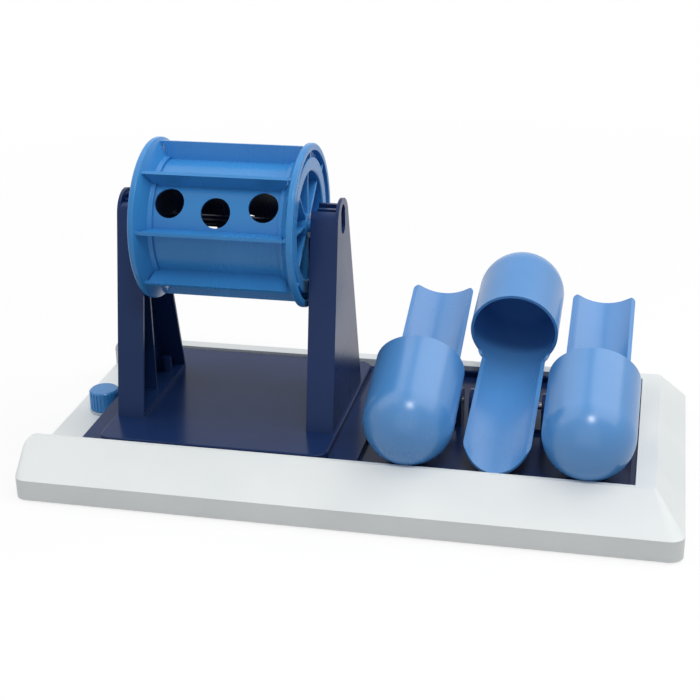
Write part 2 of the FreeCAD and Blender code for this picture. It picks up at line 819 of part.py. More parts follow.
def build_wheel(name, label, x, quarter):
    """One pressed-looking dished wheel: rim, conical web, sleeve over the barrel,
    flat ring, deep eye with spokes, hub. Local Z points outwards from the drum."""
    body = new_body(name)
    profile = new_sketch(body, f"{name}Profile", "XZ_Plane")
    thick = sheet_thick
    rim = size.wheel_radius
    floor = size.eye_depth
    eye = size.eye_radius
    hub = size.hub_radius
    bore = size.axle_radius
    add_loop(profile, [
        (bore, -2), (hub, -2), (hub, thick - floor), (eye - thick, thick - floor),
        (eye - thick, -thick), (eye - thick + 1, -ring_depth),
        (sleeve + thick, -ring_depth), (sleeve + thick, thick * 1.1 - cone_depth),
        (rim - size.rim_thick, 0.7 - size.rim_width), (rim - size.rim_thick, 0.0),
        (rim - 1, 0.0), (rim, -1.0), (rim, -size.rim_width),
        (sleeve + thick, -cone_depth), (sleeve + thick, -size.dish_depth),
        (sleeve, -size.dish_depth), (sleeve, -ring_depth - thick),
        (eye, -ring_depth - thick), (eye, -floor), (bore, -floor),
    ])
    revolve(body, profile, f"{name}Turned")
    # short ribs across the outer groove
    groove_rib = new_sketch(body, f"{name}GrooveRib", "YZ_Plane")
    swing_sketch(groove_rib, size.drum_phase * -quarter)
    add_loop(groove_rib, [
        (sleeve + thick / 2, -2.2), (sleeve + thick / 2, 0.5 - cone_depth),
        (rim - size.rim_thick + 1, -size.rim_width - 0.2),
        (rim - size.rim_thick + 1, -2.2)])
    groove_pad = pad(body, groove_rib, size.spoke_thick, f"{name}GrooveRibPad", both=True)
    repeat(body, [groove_pad], 8, f"{name}GrooveRibs")
    # spokes in the eye
    spoke = new_sketch(body, f"{name}Spoke", "YZ_Plane")
    swing_sketch(spoke, size.drum_phase * -quarter)
    add_loop(spoke, [(hub - 1, -2.6), (hub - 1, thick / 2 - floor),
                     (eye - thick / 2, thick / 2 - floor), (eye - thick / 2, -3.2)])
    spoke_pad = pad(body, spoke, size.spoke_thick, f"{name}SpokePad", both=True)
    repeat(body, [spoke_pad], 8, f"{name}Spokes")
    place_drum_piece(body, x, quarter)
    keep(label, body)
    return body


build_wheel("RightWheel", "right_drum_wheel", drum_middle + wheel_half, 1)
build_wheel("LeftWheel", "left_drum_wheel", drum_middle - wheel_half, -1)

barrel = new_body("DrumBarrel")
barrel_half = wheel_half - ring_depth - sheet_thick - size.seat_gap
ring = new_sketch(barrel, "BarrelRing", "XY_Plane", -barrel_half)
add_circle(ring, 0, 0, size.barrel_radius)
add_circle(ring, 0, 0, size.barrel_radius - size.barrel_wall)
pad(barrel, ring, barrel_half * 2, "BarrelTube")
# eight fins; their ends follow the sleeves and cones of the wheels
fin = new_sketch(barrel, "Fin", "XZ_Plane")
swing_sketch(fin, size.drum_phase * -1)
fin_foot = size.barrel_radius - 0.8
fin_step = sleeve + sheet_thick + size.seat_gap
lip_end = wheel_half - size.dish_depth - size.seat_gap * 2
cone_end = wheel_half - cone_depth - size.seat_gap * 2
cone_run = size.wheel_radius - sleeve - sheet_thick
fin_rise = (fin_radius - sleeve - sheet_thick) / cone_run
fin_reach = cone_end + (cone_depth - size.rim_width) * fin_rise
add_loop(fin, [(fin_foot, -lip_end), (fin_step, -lip_end), (fin_step, -cone_end),
               (fin_radius, -fin_reach), (fin_radius, fin_reach), (fin_step, cone_end),
               (fin_step, lip_end), (fin_foot, lip_end)])
fin_pad = pad(barrel, fin, size.fin_thick, "FinPad", both=True)
repeat(barrel, [fin_pad], 8, "Fins")
# three staggered holes in every second panel
hole_pitch = wheel_half - size.dish_depth - size.hole_radius - size.hole_margin
turn = 67.5 - size.drum_phase
for index, (step, swing) in enumerate(((-1, -1), (0, 1), (1, -1))):
    hole = new_sketch(barrel, f"TreatHole{index}", "YZ_Plane")
    swing_sketch(hole, turn + size.hole_shift * swing)
    add_circle(hole, 0, hole_pitch * step, size.hole_radius)
    hole_cut = pocket(barrel, hole, size.wheel_radius, f"TreatHoleCut{index}", back=True)
    repeat(barrel, [hole_cut], 4, f"TreatHoles{index}")
place_drum_piece(barrel, drum_middle, 1)
keep("drum_barrel", barrel)

axle_half = post_reach - size.post_wall - 1.0
axle = cylinder("DrumAxle", size.axle_radius, axle_half * 2, drum_middle - axle_half,
                axle_depth, size.axle_height, (1, 0, 0))
keep("drum_axle", axle)


# The tubes, their cradles, pins and screws
def build_tube(name, label, x, dome, tail, tilt, way, rounded):
    """Cup with a domed end and an open trough, laid along Y and open at the top. The
    trough's tail points to way * Y. The body's origin is on the pivot's axis."""
    body = new_body(name)
    radius = size.tube_radius
    inner = radius - size.tube_wall
    lift = pivot_drop

    def side_view(corners):
        """Corners given as height and distance towards the tail."""
        placed = []
        for corner in corners:
            spot = (corner[1] * way, corner[0])
            if len(corner) == 4:
                spot = spot + (corner[2], corner[3] == (way < 0))
            placed.append(spot)
        return placed

    def top_view(corners):
        """Corners given as distance to the right and distance towards the tail."""
        placed = []
        for corner in corners:
            spot = (corner[0], corner[1] * way)
            if len(corner) == 4:
                spot = spot + (corner[2], corner[3] == (way > 0))
            placed.append(spot)
        return placed

    profile = new_sketch(body, f"{name}Profile", "YZ_Plane")
    profile.AttachmentOffset = FreeCAD.Placement(vec(0, num(lift), 0), FreeCAD.Rotation())
    bind(profile, "AttachmentOffset.Base.y", lift)
    add_loop(profile, side_view([
        (0.0, -dome - radius, radius, True), (radius, -dome), (radius, tail),
        (inner, tail), (inner, -dome, inner, False), (0.0, -dome - inner)]))
    revolve(body, profile, f"{name}Shell", axis="H_Axis")
    # open the trough
    edge = lift - radius * cos_of(size.trough_angle)
    mouth = size.cup_length - dome
    fillet = size.mouth_fillet
    above = lift + radius + 5
    opening = new_sketch(body, f"{name}Opening", "YZ_Plane")
    add_loop(opening, side_view([
        (edge + fillet, mouth), (above, mouth), (above, tail + 5),
        (edge, tail + 5), (edge, mouth + fillet, fillet, False)]))
    pocket(body, opening, radius * 2 + 10, f"{name}OpeningCut", both=True)
    # the tail's shape seen from above
    half = radius * sin_of(size.trough_angle)
    trim = new_sketch(body, f"{name}Trim", "XY_Plane", lift)
    far = radius + 5
    bend = half if rounded else size.tail_corner
    tip = [(-half, tail - bend, bend, False)]
    if not rounded:
        tip.append((bend - half, tail))
    tip.append((half - bend, tail, bend, False))
    tip.append((half, tail - bend))
    tip.append((far, tail - bend))
    add_loop(trim, top_view(tip + [(far, tail + 5), (-far, tail + 5), (-far, tail - bend)]))
    pocket(body, trim, radius * 2 + 20, f"{name}TrimCut", both=True)
    # two lugs that hang on the pivot pin
    for side, spot in (("A", -size.lug_offset), ("B", size.lug_offset)):
        lug = new_sketch(body, f"{name}Lug{side}", "YZ_Plane", spot)
        ear = size.lug_radius
        top = size.lug_drop + size.tube_wall * 1.5
        add_loop(lug, side_view([
            (0.0, -ear), (top, -ear - 5), (top, ear + 5), (0.0, ear, ear, True),
            (-ear, 0.0, ear, True)]))
        pad(body, lug, size.lug_thick, f"{name}LugPad{side}", both=True)
    bore = new_sketch(body, f"{name}Bore", "YZ_Plane")
    add_circle(bore, 0, 0, size.pin_radius + size.running_play)
    pocket(body, bore, radius * 2, f"{name}BoreCut", both=True)
    body.Placement = FreeCAD.Placement(
        vec(num(x), num(pivot_depth), num(pivot_height)),
        FreeCAD.Rotation(vec(1, 0, 0), num(tilt)))
    for axis, amount in (("x", x), ("y", pivot_depth), ("z", pivot_height)):
        bind(body, f"Placement.Base.{axis}", amount)
    bind(body, "Placement.Rotation.Angle", tilt)
    keep(label, body)


build_tube("LeftTube", "left_tube", left_tube_at, size.outer_dome, size.outer_tail,
           size.outer_tilt, 1, False)
build_tube("MiddleTube", "middle_tube", middle_tube_at, size.middle_dome, middle_tail,
           middle_tilt, -1, True)
build_tube("RightTube", "right_tube", right_tube_at, size.outer_dome, size.outer_tail,
           size.outer_tilt, 1, False)

cradle_span = size.tube_radius - size.cradle_inset
cradle_seat = size.tube_floor + size.seat_gap
cradle_screws = []
for side, spot in tube_spots.items():
    word = side.capitalize()
    cradle = new_body(f"{word}Cradle")
    foot_plate = new_sketch(cradle, f"{word}CradleFoot", "XY_Plane", cradle_seat)
    reach = cradle_span + size.cradle_thick / 2
    add_loop(foot_plate, box_loop(spot - reach, pivot_depth - size.cradle_radius,
                                  spot + reach, pivot_depth + size.cradle_radius))
    pad(cradle, foot_plate, size.cradle_foot, f"{word}CradleFootPad")
    for hand in (-1, 1):
        tag = "Left" if hand < 0 else "Right"
        ear = new_sketch(cradle, f"{word}Ear{tag}", "YZ_Plane",
                         spot + cradle_span * hand)
        back_y = pivot_depth + size.cradle_radius
        front_y = pivot_depth - size.cradle_radius
        add_loop(ear, [
            (front_y, cradle_seat), (back_y, cradle_seat),
            (back_y, pivot_height, size.cradle_radius, True),
            (pivot_depth, pivot_height + size.cradle_radius,
             size.cradle_radius, True),
            (front_y, pivot_height)])
        pad(cradle, ear, size.cradle_thick, f"{word}EarPad{tag}", both=True)
    eye_bore = new_sketch(cradle, f"{word}EyeBore", "YZ_Plane", spot)
    add_circle(eye_bore, pivot_depth, pivot_height, size.pin_radius)
    pocket(cradle, eye_bore, reach * 2 + 10, f"{word}EyeBoreCut", both=True)
    screw_bores = new_sketch(cradle, f"{word}ScrewBores", "XY_Plane", size.tube_floor)
    for shift in (-1, 1):
        add_circle(screw_bores, spot + size.cradle_fix * shift, pivot_depth, size.screw_radius)
    pocket(cradle, screw_bores, 10, f"{word}ScrewBoreCuts", back=True)
    keep(f"{side}_pivot_cradle", cradle)
    pin_half = cradle_span + size.cradle_thick / 2 + 0.4
    pin = cylinder(f"{word}Pin", size.pin_radius, pin_half * 2, spot - pin_half,
                   pivot_depth, pivot_height, (1, 0, 0))
    keep(f"{side}_pivot_pin", pin)
    for shift in (-1, 1):
        cradle_screws.append(screw(f"CradleScrew{word}{shift + 2}",
                                   spot + size.cradle_fix * shift,
                                   pivot_depth, size.tube_floor - deck_wall,
                                   deck_wall + size.cradle_foot - 0.2))
keep("cradle_screws", group("CradleScrews", cradle_screws))


# The lock knob with its collar, washer and screw
knob = new_body("LockKnob")
body_profile = new_sketch(knob, "KnobProfile", "XZ_Plane")
drop = knob_foot
shaft_end = size.wall_top - size.base_wall - 5.3
add_loop(body_profile, [
    (0.0, shaft_end), (size.shaft_radius, shaft_end), (size.shaft_radius, drop + 4),
    (size.knob_radius - 2, drop + 4), (size.knob_radius - 2, drop),
    (size.knob_radius - size.grip_depth, drop),
    (size.knob_radius - size.grip_depth, knob_top - 1),
    (size.knob_radius - size.grip_depth - 1, knob_top), (0.0, knob_top)])
revolve(knob, body_profile, "KnobTurned")
grip = new_sketch(knob, "KnobGrip", "XY_Plane", knob_foot + 0.6)
add_loop(grip, box_loop(size.knob_radius - 2, -0.75, size.knob_radius, 0.75))
grip_pad = pad(knob, grip, knob_top - knob_foot - 2.0, "KnobGripPad")
repeat(knob, [grip_pad], 24, "KnobGrips")
tab = new_sketch(knob, "LockTab", "XY_Plane", knob_foot)
add_loop(tab, box_loop(0.0, -4.0, size.collar_radius + 4.5, 4.0))
pad(knob, tab, 2.0, "LockTabPad")
knob_bore = new_sketch(knob, "KnobBore", "XY_Plane", shaft_end)
add_circle(knob_bore, 0, 0, size.screw_radius)
pocket(knob, knob_bore, 10, "KnobBoreCut", back=True)
knob.Placement = FreeCAD.Placement(
    vec(num(knob_at), num(knob_depth), 0), FreeCAD.Rotation())
bind(knob, "Placement.Base.x", knob_at)
bind(knob, "Placement.Base.y", knob_depth)
keep("lock_knob", knob)

collar_disc = cylinder("CollarDisc", size.collar_radius, size.collar_thick, knob_at,
                       knob_depth, size.wall_top + size.seat_gap)
collar_bore = cylinder("CollarBore", size.shaft_radius + size.running_play, size.collar_thick + 4, knob_at,
                       knob_depth, size.wall_top - 2)
keep("knob_collar", cut_away("KnobCollar", collar_disc, collar_bore))
washer_disc = cylinder("WasherDisc", size.shaft_radius + 2.5, 1.2, knob_at,
                       knob_depth, shaft_end - 1.25)
washer_bore = cylinder("WasherBore", size.screw_radius, 4, knob_at,
                       knob_depth, shaft_end - 3)
keep("knob_washer", cut_away("KnobWasher", washer_disc, washer_bore))
knob_screw = screw("KnobScrew", knob_at, knob_depth, shaft_end - 1.3, 10)
keep("knob_screw", knob_screw)


# Every feature and every solid is checked before it is written
doc.recompute()
faults = [item.Name for item in doc.Objects
          if "Invalid" in item.State or "Error" in item.State]
if faults:
    raise RuntimeError(f"failed: {faults}")
for node, item in nodes.items():
    shape = item.Shape
    if shape.isNull() or not shape.isValid():
        raise RuntimeError(f"{node}: bad shape")
    shape.exportStep(f"parts/{node}.step")
    box = shape.BoundBox
    print(f"{node:22s} solids {len(shape.Solids)} volume {shape.Volume / 1000:8.2f} cm3 "
          f"x {box.XMin:7.1f} {box.XMax:7.1f} y {box.YMin:7.1f} {box.YMax:7.1f} "
          f"z {box.ZMin:6.1f} {box.ZMax:6.1f}")
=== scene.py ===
import bpy
import bmesh
import json
import math
from mathutils import Matrix, Vector


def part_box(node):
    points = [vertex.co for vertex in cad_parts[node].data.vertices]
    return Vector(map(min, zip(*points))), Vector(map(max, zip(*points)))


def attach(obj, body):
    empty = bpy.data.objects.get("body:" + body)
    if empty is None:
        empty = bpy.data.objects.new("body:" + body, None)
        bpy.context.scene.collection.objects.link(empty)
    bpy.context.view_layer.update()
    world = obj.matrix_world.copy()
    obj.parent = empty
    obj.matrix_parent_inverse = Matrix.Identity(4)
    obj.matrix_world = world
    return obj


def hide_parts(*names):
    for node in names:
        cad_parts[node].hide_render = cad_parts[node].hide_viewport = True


# A dog's puzzle toy: white tray, navy modules, spinning paddle drum and tipping tubes.
# Everything is in metres, in the frame's own axes: X right, Y to the rear, Z up.

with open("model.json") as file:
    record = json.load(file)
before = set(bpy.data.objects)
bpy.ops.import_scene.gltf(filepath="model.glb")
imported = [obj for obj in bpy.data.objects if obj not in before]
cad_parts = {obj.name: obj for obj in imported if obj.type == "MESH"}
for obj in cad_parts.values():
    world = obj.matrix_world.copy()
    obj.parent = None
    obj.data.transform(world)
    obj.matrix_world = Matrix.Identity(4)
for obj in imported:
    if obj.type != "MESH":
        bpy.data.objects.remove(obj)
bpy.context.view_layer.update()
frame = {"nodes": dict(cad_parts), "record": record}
bodyOfNode = {}
for bodyName, members in frame["record"]["behaviour"]["bodies"].items():
    for member in members:
        bodyOfNode[member] = bodyName
print("frame loaded:", len(frame["nodes"]), "nodes")


# Node trees

mixColours = {"first": 6, "second": 7, "result": 2}  # a Mix node's sockets for colours


class Wire:
    # a value in a node tree; sums and products of values add Math nodes
    def __init__(self, finish, socket):
        self.finish = finish
        self.socket = socket

    def combine(self, operation, first, second):
        return self.finish.node("Math", {"operation": operation}, {0: first, 1: second})

    def __add__(self, other):
        return self.combine("ADD", self, other)

    def __radd__(self, other):
        return self.combine("ADD", other, self)

    def __mul__(self, other):
        return self.combine("MULTIPLY", self, other)

    def __rmul__(self, other):
        return self.combine("MULTIPLY", other, self)


class Finish:
    # the node tree of a material or of the room
    def __init__(self, holder):
        self.holder = holder
        self.holder.use_nodes = True
        self.tree = self.holder.node_tree
        self.tree.nodes.clear()

    def node(self, kind, settings, sockets, output=0):
        made = self.tree.nodes.new("ShaderNode" + kind)
        for key, value in settings.items():
            setattr(made, key, value)
        for key, value in sockets.items():
            if isinstance(value, Wire):
                self.tree.links.new(value.socket, made.inputs[key])
            else:
                made.inputs[key].default_value = value
        return Wire(self, made.outputs[output]) if made.outputs else None

    def vectorMath(self, operation, *vectors, output=0):
        return self.node("VectorMath", {"operation": operation},
                         dict(enumerate(vectors)), output)

    def place(self):
        return self.node("TexCoord", {}, {}, "Object")

    def stretched(self, scale, turn=(0.0, 0.0, 0.0)):
        return self.node("Mapping", {}, {
            "Vector": self.place(), "Scale": scale, "Rotation": turn})

    def noise(self, where, scale, detail, rough=0.5):
        return self.node("TexNoise", {}, {
            "Vector": where, "Scale": scale, "Detail": detail, "Roughness": rough})

    def steps(self, value, low, high, start=0.0, end=1.0):
        # goes from start to end while the value goes from low to high
        return self.node("MapRange", {}, {
            "Value": value, "From Min": low, "From Max": high,
            "To Min": start, "To Max": end})

    def blend(self, factor, first, second):
        return self.node("Mix", {"data_type": "RGBA"}, {
            0: factor, mixColours["first"]: first, mixColours["second"]: second},
            mixColours["result"])

    def seen(self):
        # 1 for what the camera sees, also in a gloss or through a clear piece, else 0
        kinds = ("Is Camera Ray", "Is Glossy Ray", "Is Transmission Ray")
        camera, glossy, clear = [self.node("LightPath", {}, {}, kind) for kind in kinds]
        return camera + glossy + clear

    def output(self, shader, kind="OutputMaterial"):
        self.node(kind, {"is_active_output": True}, {"Surface": shader})
        return self.holder


def tint(text):
    # a screen colour such as 4A8FD0 as the linear colour that a shader takes,
    # by the standard curve of sRGB
    channels = []
    for start in (0, 2, 4):
        value = int(text[start:start + 2], 16) / 255.0
        channels.append(
            value / 12.92 if value <= 0.04045 else ((value + 0.055) / 1.055) ** 2.4)
    return (*channels, 1.0)


# Camera and studio

cameraView = {
    "place": (0.1947, -0.9203, 0.4838),
    "looks": (-0.2014, 0.8978, -0.3917),
    "rollDegrees": -0.95,
    "focalPixels": 1417.8,  # for a picture 700 pixels wide
    "pictureWidth": 700,
    "sensorWidth": 36.0,
    "nearest": 0.02,
}


def placeCamera(view):
    camera = bpy.data.objects.new("camera", bpy.data.cameras.new("camera"))
    bpy.context.scene.collection.objects.link(camera)
    camera.data.sensor_width = view["sensorWidth"]
    camera.data.lens = view["sensorWidth"] * view["focalPixels"] / view["pictureWidth"]
    camera.data.clip_start = view["nearest"]
    ahead = Vector(view["looks"]).normalized()
    right = ahead.cross(Vector((0, 0, 1))).normalized()
    up = right.cross(ahead)
    roll = math.radians(view["rollDegrees"])
    sideways = right * math.cos(roll) + up * math.sin(roll)
    upright = up * math.cos(roll) - right * math.sin(roll)
    turn = Matrix((sideways, upright, -ahead)).transposed().to_4x4()
    camera.matrix_world = Matrix.Translation(view["place"]) @ turn
    bpy.context.scene.camera = camera


pureWhite = (1.0, 1.0, 1.0, 1.0)

studio = {
    "floorHalf": 40.0,
    "floorSeen": (0.93, 0.93, 0.935, 1.0),  # the paper's colour where it is seen
    "floorBounce": (0.42, 0.42, 0.425, 1.0),  # and where it lights the toy
    "whiteNear": 0.78,  # share of pure white in the floor around the toy
    "whiteFar": 1.0,  # and further out
    "fadeStart": 0.35,
    "fadeEnd": 1.1,
    "roomSeen": 1.0,
    "roomLight": 0.25,
    "aim": (0.0, 0.0, 0.08),
    "lamps": {
        "key": {"place": (0.3, -0.95, 1.8), "size": 0.38, "power": 10.5},
        "softbox": {"place": (1.15, 0.35, 1.8), "size": 2.2, "power": 28.0},
        "fill": {"place": (-1.2, 0.2, 1.5), "size": 2.0, "power": 14.0},
        "front": {"place": (0.1, -1.9, 0.5), "size": 2.0, "power": 6.0},
    },
}


def areaLamp(name, lamp):
    light = bpy.data.lights.new(name, "AREA")
    light.size = lamp["size"]
    light.energy = lamp["power"]
    holder = bpy.data.objects.new(name, light)
    bpy.context.scene.collection.objects.link(holder)
    holder.location = lamp["place"]
    aim = Vector(studio["aim"]) - Vector(lamp["place"])
    holder.rotation_euler = aim.to_track_quat("-Z", "Y").to_euler()


def floorPaper(name):
    # white where it is seen, also in a gloss, and darker where it lights the toy
    finish = Finish(bpy.data.materials.new(name))
    distance = finish.vectorMath("LENGTH", finish.place(), output="Value")
    white = finish.steps(distance, studio["fadeStart"], studio["fadeEnd"],
                         studio["whiteNear"], studio["whiteFar"])
    bounce = finish.node("BsdfDiffuse", {}, {"Color": studio["floorBounce"]})
    paper = finish.node("BsdfDiffuse", {}, {"Color": studio["floorSeen"]})
    glow = finish.node("Emission", {}, {"Color": pureWhite, "Strength": 1.0})
    bright = finish.node("MixShader", {}, {0: white, 1: paper, 2: glow})
    return finish.output(finish.node("MixShader", {}, {
        0: finish.seen(), 1: bounce, 2: bright}))


def whiteRoom(name):
    # white where it is seen, also in a gloss, and dimmer where it lights the toy
    room = Finish(bpy.data.worlds.new(name))
    level = room.steps(room.seen(), 0.0, 1.0, studio["roomLight"], studio["roomSeen"])
    return room.output(room.node("Background", {}, {
        "Color": pureWhite, "Strength": level}), "OutputWorld")


def buildStudio():
    scene = bpy.context.scene
    scene.view_settings.view_transform = "Standard"
    scene.world = whiteRoom("room")
    for kind, lamp in studio["lamps"].items():
        areaLamp(kind + "Lamp", lamp)
    bm = bmesh.new()
    bmesh.ops.create_grid(bm, x_segments=1, y_segments=1, size=studio["floorHalf"])
    mesh = bpy.data.meshes.new("floor")
    bm.to_mesh(mesh)
    bm.free()
    floor = bpy.data.objects.new("floor", mesh)
    scene.collection.objects.link(floor)
    mesh.materials.append(floorPaper("floorPaper"))


placeCamera(cameraView)
buildStudio()
print("camera, lamps and floor placed")


# Finishes

drumLeft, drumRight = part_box("left_drum_wheel")[0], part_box("right_drum_wheel")[1]
axleLow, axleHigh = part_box("drum_axle")
axleY, axleZ = (axleLow[1] + axleHigh[1]) / 2, (axleLow[2] + axleHigh[2]) / 2

drumPaintedShade = {  # painted shade: a dark colour painted inside the drum's closed room, which no light reaches
    "colour": "0B1B35",
    "radius": 0.0412,
    "endDepth": 0.0128,  # from a wheel's outer face to the room's end
    "edge": 0.0004,
}


def paintDrumShade(finish, room, colour):
    # the colour as it is, but a dark painted shade inside the drum's closed room
    centre = ((drumLeft[0] + drumRight[0]) / 2, axleY, axleZ)
    reach = (drumRight[0] - drumLeft[0]) / 2 - room["endDepth"]
    offset = finish.vectorMath("SUBTRACT", finish.place(), centre)
    across = finish.vectorMath("MULTIPLY", offset, (0.0, 1.0, 1.0))
    away = finish.vectorMath("LENGTH", across, output="Value")
    wall = finish.steps(away, room["radius"], room["radius"] + room["edge"])
    mirrored = finish.vectorMath("ABSOLUTE", offset)
    along = finish.node("SeparateXYZ", {}, {0: mirrored}, "X")
    ends = finish.steps(along, reach, reach + room["edge"])
    outsidePaintedShade = finish.node("Math", {"operation": "MAXIMUM"}, {0: wall, 1: ends})
    # painted shade: the dark colour stands in place of the plastic's own colour inside
    # the room
    return finish.blend(outsidePaintedShade, tint(room["colour"]), colour)


plainPlastic = {  # what a plastic has where its own recipe says nothing else
    "cloudScale": 14.0,  # broad clouds of the two colours, and of gloss
    "cloudDetail": 2.0,
    "cloudColours": (0.35, 0.65),
    "cloudGloss": (0.3, 0.7),
    "grainScale": 1500.0,  # the mould's fine grain
    "grainDetail": 2.0,
    "grainRough": 0.6,
    "grainStrength": 0.25,
    "grainDepth": 0.00004,
    "scuff": 0.03,  # duller streaks
    "scuffStretch": (260.0, 26.0, 60.0),
    "scuffTurn": (0.3, 0.2, 0.7),
    "scuffScale": 1.0,
    "scuffDetail": 4.0,
    "scuffRough": 0.65,
    "scuffShown": (0.52, 0.72),
    "ior": 1.5,
    "specular": 0.5,
}

plastics = {  # two close colours and the roughness between which the surface varies
    "trayWhite": {"colours": ("E6EAEA", "E0E5E6"), "rough": (0.42, 0.5)},
    "deckNavy": {"colours": ("1F345F", "1C2F58"), "rough": (0.17, 0.22),
                 "grainStrength": 0.08, "scuff": 0.01, "specular": 0.1},
    "postNavy": {"colours": ("1C3463", "1A305B"), "rough": (0.25, 0.3),
                 "grainStrength": 0.06, "scuff": 0.01, "specular": 0.18},
    "knobBlue": {"colours": ("3A8ACD", "3684C5"), "rough": (0.26, 0.32)},
    "drumBlueAndPaintedShade": {"colours": ("3A8ACD", "3684C5"), "rough": (0.24, 0.3),
                 "specular": 0.32, "inside": drumPaintedShade},
    "tubeBlue": {"colours": ("518ECC", "4B88C5"), "rough": (0.24, 0.28),
                 "grainStrength": 0.08, "scuff": 0.01, "specular": 0.6},
    "collarPale": {"colours": ("B8C6D2", "B0BECB"), "rough": (0.35, 0.45)},
    "footRubber": {"colours": ("38383A", "303032"), "rough": (0.7, 0.8)},
}


def mouldedPlastic(name, recipe):
    finish = Finish(bpy.data.materials.new(name))
    cloud = finish.noise(finish.place(), recipe["cloudScale"], recipe["cloudDetail"])
    colour = finish.blend(finish.steps(cloud, *recipe["cloudColours"]),
                          *[tint(text) for text in recipe["colours"]])
    # painted shade inside the drum, for the drum's finish
    if "inside" in recipe:
        colour = paintDrumShade(finish, recipe["inside"], colour)
    grain = finish.noise(finish.place(), recipe["grainScale"], recipe["grainDetail"],
                         recipe["grainRough"])
    slanted = finish.stretched(recipe["scuffStretch"], recipe["scuffTurn"])
    scuffs = finish.noise(slanted, recipe["scuffScale"], recipe["scuffDetail"],
                          recipe["scuffRough"])
    rough = finish.steps(cloud, *recipe["cloudGloss"], *recipe["rough"])
    rough = rough + finish.steps(scuffs, *recipe["scuffShown"]) * recipe["scuff"]
    bump = finish.node("Bump", {}, {
        "Strength": recipe["grainStrength"], "Distance": recipe["grainDepth"],
        "Height": grain})
    return finish.output(finish.node("BsdfPrincipled", {}, {
        "Base Color": colour, "Roughness": rough, "Normal": bump,
        "IOR": recipe["ior"], "Specular IOR Level": recipe["specular"]}))


zinc = {
    "colours": ("A8A8AA", "8E8E92"),
    "rough": (0.28, 0.42),
    "streaks": (900.0, 900.0, 60.0),
    "streakScale": 1.0,
    "streakDetail": 3.0,
    "streakGloss": (0.3, 0.7),
}


def zincSteel(name, recipe):
    finish = Finish(bpy.data.materials.new(name))
    streaks = finish.noise(finish.stretched(recipe["streaks"]), recipe["streakScale"],
                           recipe["streakDetail"])
    shade = finish.blend(streaks, *[tint(text) for text in recipe["colours"]])
    rough = finish.steps(streaks, *recipe["streakGloss"], *recipe["rough"])
    return finish.output(finish.node("BsdfPrincipled", {}, {
        "Base Color": shade, "Metallic": 1.0, "Roughness": rough}))


finishes = {}
for finishName, recipe in plastics.items():
    finishes[finishName] = mouldedPlastic(finishName, {**plainPlastic, **recipe})
finishes["zincSteel"] = zincSteel("zincSteel", zinc)
print("finishes made:", len(finishes))


# Moulded pieces: the frame's own shapes with the edges eased as a mould leaves them

moulding = {
    "mergeDistance": 0.000005,
    "flatDegrees": 0.5,  # faces closer to flat than this become one
    "easedDegrees": 32,  # edges sharper than this are eased
    "creaseDegrees": 48,  # edges sharper than this are shaded as edges
    "segments": 2,
}


def copyOfNode(node):
    bare = frame["nodes"][node].data.copy()
    if "custom_normal" in bare.attributes:
        bare.attributes.remove(bare.attributes["custom_normal"])
    bm = bmesh.new()
    bm.from_mesh(bare)
    bpy.data.meshes.remove(bare)
    bmesh.ops.remove_doubles(bm, verts=bm.verts, dist=moulding["mergeDistance"])
    bmesh.ops.dissolve_limit(bm, angle_limit=math.radians(moulding["flatDegrees"]),
                             verts=bm.verts, edges=bm.edges)
    return bm


def dressPiece(bm, node, look):
    eased = math.radians(moulding["easedDegrees"])
    corners = [edge for edge in bm.edges
               if len(edge.link_faces) == 2 and edge.calc_face_angle() > eased]
    bmesh.ops.bevel(bm, geom=corners, offset=look["edge"], offset_type="OFFSET",
                    segments=look.get("segments", moulding["segments"]), profile=0.5,
                    affect="EDGES", clamp_overlap=True, material=-1)
    mesh = bpy.data.meshes.new(node + "_moulded")
    bm.to_mesh(mesh)
    bm.free()
    mesh.shade_smooth()
    mesh.set_sharp_from_angle(angle=math.radians(moulding["creaseDegrees"]))
    mesh.materials.append(finishes[look["finish"]])
    piece = bpy.data.objects.new(node + "_moulded", mesh)
    bpy.context.scene.collection.objects.link(piece)
    even = piece.modifiers.new("evenNormals", "WEIGHTED_NORMAL")
    even.keep_sharp = True
    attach(piece, bodyOfNode[node])
    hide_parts(node)


tray = {"edge": 0.0010, "finish": "trayWhite", "slot": "tray_white"}
decks = {"edge": 0.0007, "finish": "deckNavy", "slot": "deck_navy"}
drum = {"edge": 0.0005, "finish": "drumBlueAndPaintedShade", "slot": "drum_blue"}
tubes = {"edge": 0.0006, "finish": "tubeBlue", "slot": "tube_blue"}
cradles = {"edge": 0.0004, "finish": "deckNavy", "slot": "deck_navy"}
pins = {"edge": 0.0004, "finish": "zincSteel", "slot": "steel"}
screws = {"edge": 0.0003, "finish": "zincSteel", "slot": "steel"}
knob = {"edge": 0.0002, "finish": "knobBlue", "slot": "drum_blue"}
collar = {"edge": 0.0004, "finish": "collarPale", "slot": "collar_pale"}
feet = {"edge": 0.0006, "finish": "footRubber", "slot": "foot_rubber"}

lookOfNode = {
    "base_frame": tray, "rubber_feet": feet, "drum_deck": decks, "tube_deck": decks,
    "post_screws": screws, "drum_barrel": drum, "drum_axle": drum,
    "cradle_screws": screws, "lock_knob": knob, "knob_collar": collar,
    "knob_washer": screws, "knob_screw": screws,
}
for side in ("left", "middle", "right"):
    lookOfNode[side + "_tube"] = tubes
    lookOfNode[side + "_pivot_cradle"] = cradles
    lookOfNode[side + "_pivot_pin"] = pins
for node, look in lookOfNode.items():
    dressPiece(copyOfNode(node), node, look)
print("moulded pieces made:", len(lookOfNode))


# Blocks and prisms, for the wheels and the posts

